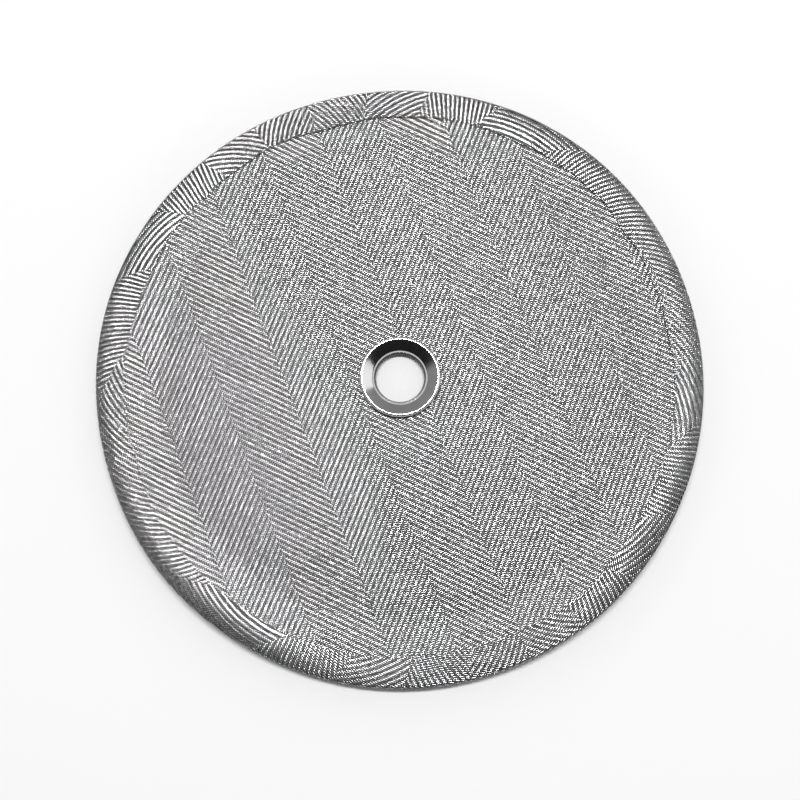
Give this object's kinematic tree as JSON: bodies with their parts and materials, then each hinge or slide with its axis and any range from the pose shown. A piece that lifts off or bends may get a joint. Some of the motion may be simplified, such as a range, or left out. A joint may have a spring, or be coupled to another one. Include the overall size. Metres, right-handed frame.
{
  "type": "wire mesh filter disc",
  "caption": "Round woven wire filter screen with a folded rim and a set metal eyelet at its centre, for a plunger coffee pot.",
  "frame": {"origin": "on the axis of the eyelet's bore, level with the flat back of the eyelet, on which the disc lies", "axes": "+Z along the bore towards the front, where the hem and the eyelet's flange are; +Y towards the top of the picture"},
  "size_m": [0.1, 0.1, 0.0028],
  "materials": {
    "wire_cloth": "woven, satin",
    "eyelet_metal": "polished"
  },
  "bodies": {
    "root": {"mesh_disc": "wire_cloth", "eyelet": "eyelet_metal"}
  },
  "joints": []
}
